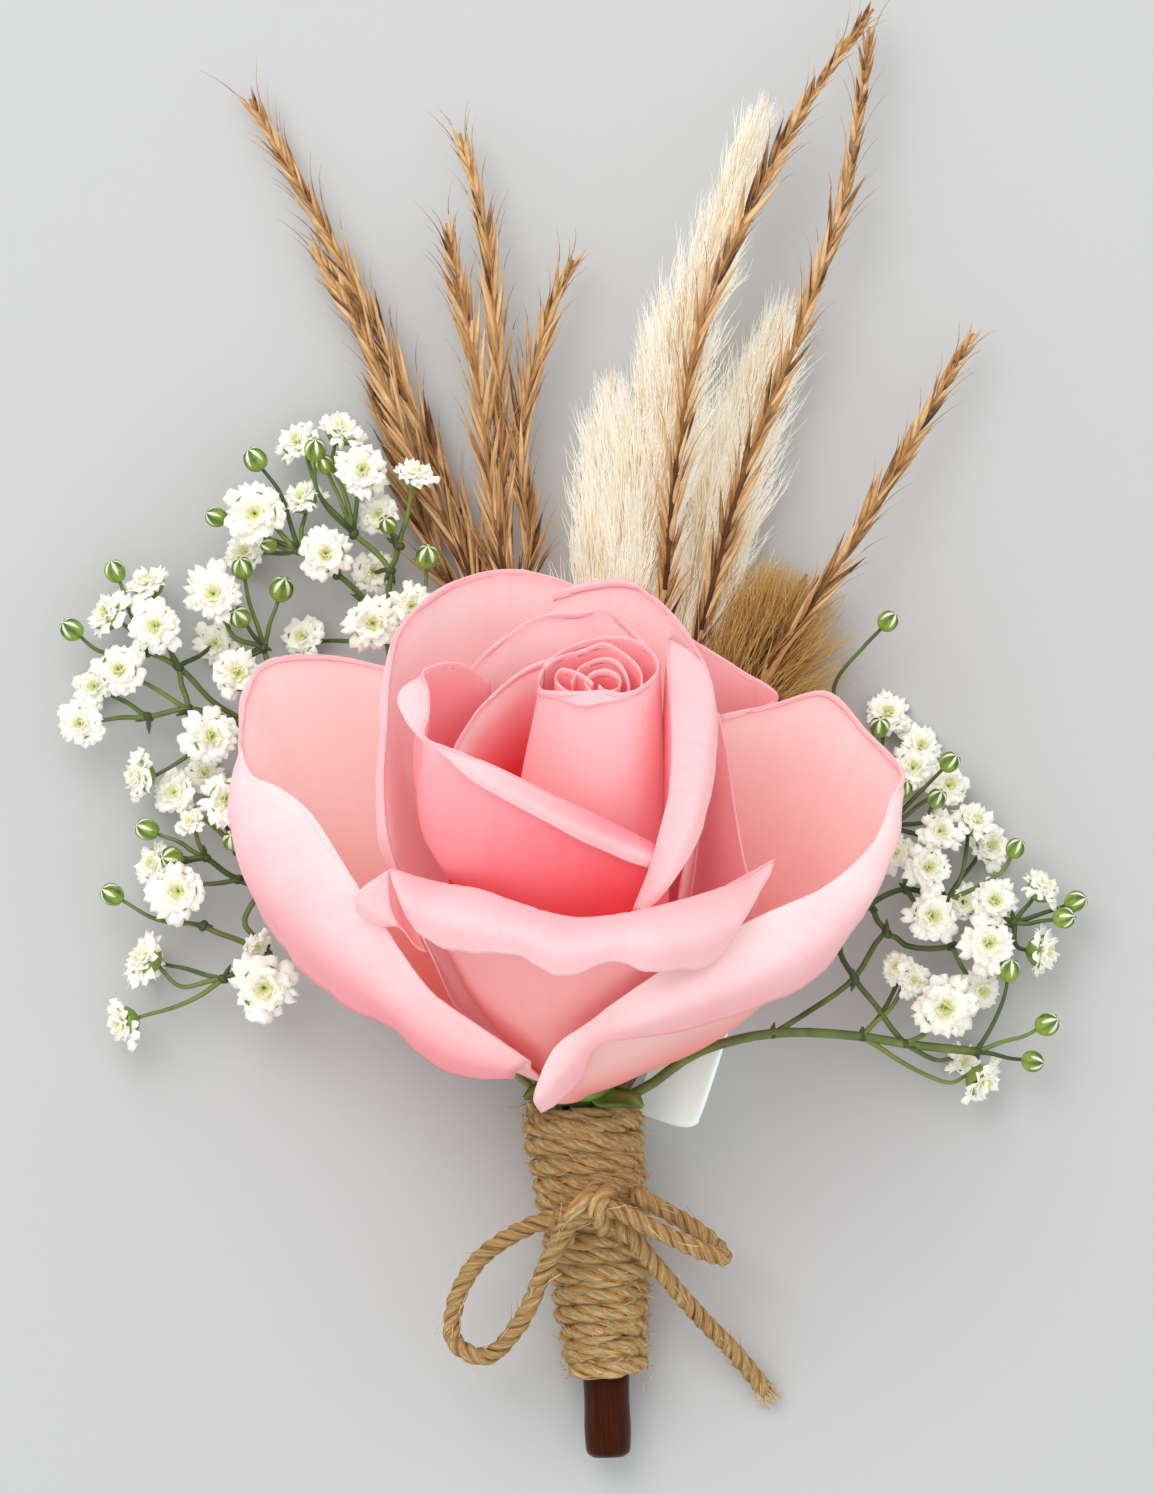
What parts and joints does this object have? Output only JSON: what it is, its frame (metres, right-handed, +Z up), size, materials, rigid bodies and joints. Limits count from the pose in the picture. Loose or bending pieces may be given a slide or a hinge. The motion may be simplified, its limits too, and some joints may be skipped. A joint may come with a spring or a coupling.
{
  "type": "boutonniere",
  "caption": "Rose boutonniere with baby's breath, dry grasses and soft plumes, its stems wrapped in twine with a bow and a satin loop.",
  "frame": {"origin": "centre of the bounding box in plan, on the table that the boutonniere lies on", "axes": "+Y from the stick's cut end towards the tips of the grasses, +Z up out of the table towards the viewer, the bloom facing up"},
  "size_m": [0.1024, 0.1462, 0.043],
  "materials": {
    "rose_bloom": "soft satin petals, deep coral pink in the middle and pale pink outside",
    "rose_hip_and_stem": "waxy fresh green sepals, hip and stem",
    "wooden_stick": "dark brown smooth bark with a soft sheen",
    "twine_wrap": "golden tan jute twine, matte and fibrous",
    "twine_bow": "golden tan jute twine, matte and fibrous",
    "ribbon_loop": "white satin with a soft sheen",
    "babys_breath_left_upper": "matte white florets on fresh green stalks",
    "babys_breath_left_middle": "matte white florets on fresh green stalks",
    "babys_breath_left_lower": "matte white florets on fresh green stalks",
    "babys_breath_right": "matte white florets on fresh green stalks",
    "grass_left": "dry golden brown ears",
    "grass_middle": "dry golden brown ears",
    "grass_right_tall": "dry golden brown ears",
    "grass_right_upper": "dry golden brown ears",
    "grass_right_side": "dry golden brown ears",
    "plume_left": "soft ivory hairs",
    "plume_middle": "soft ivory hairs",
    "plume_tall": "soft ivory hairs",
    "plume_right": "soft ivory hairs",
    "plume_brown": "soft tan brown hairs"
  },
  "bodies": {
    "root": {"rose_bloom": "rose_bloom", "rose_hip_and_stem": "rose_hip_and_stem", "wooden_stick": "wooden_stick", "twine_wrap": "twine_wrap", "twine_bow": "twine_bow", "ribbon_loop": "ribbon_loop", "babys_breath_left_upper": "babys_breath_left_upper", "babys_breath_left_middle": "babys_breath_left_middle", "babys_breath_left_lower": "babys_breath_left_lower", "babys_breath_right": "babys_breath_right", "grass_left": "grass_left", "grass_middle": "grass_middle", "grass_right_tall": "grass_right_tall", "grass_right_upper": "grass_right_upper", "grass_right_side": "grass_right_side", "plume_left": "plume_left", "plume_middle": "plume_middle", "plume_tall": "plume_tall", "plume_right": "plume_right", "plume_brown": "plume_brown"}
  },
  "joints": []
}
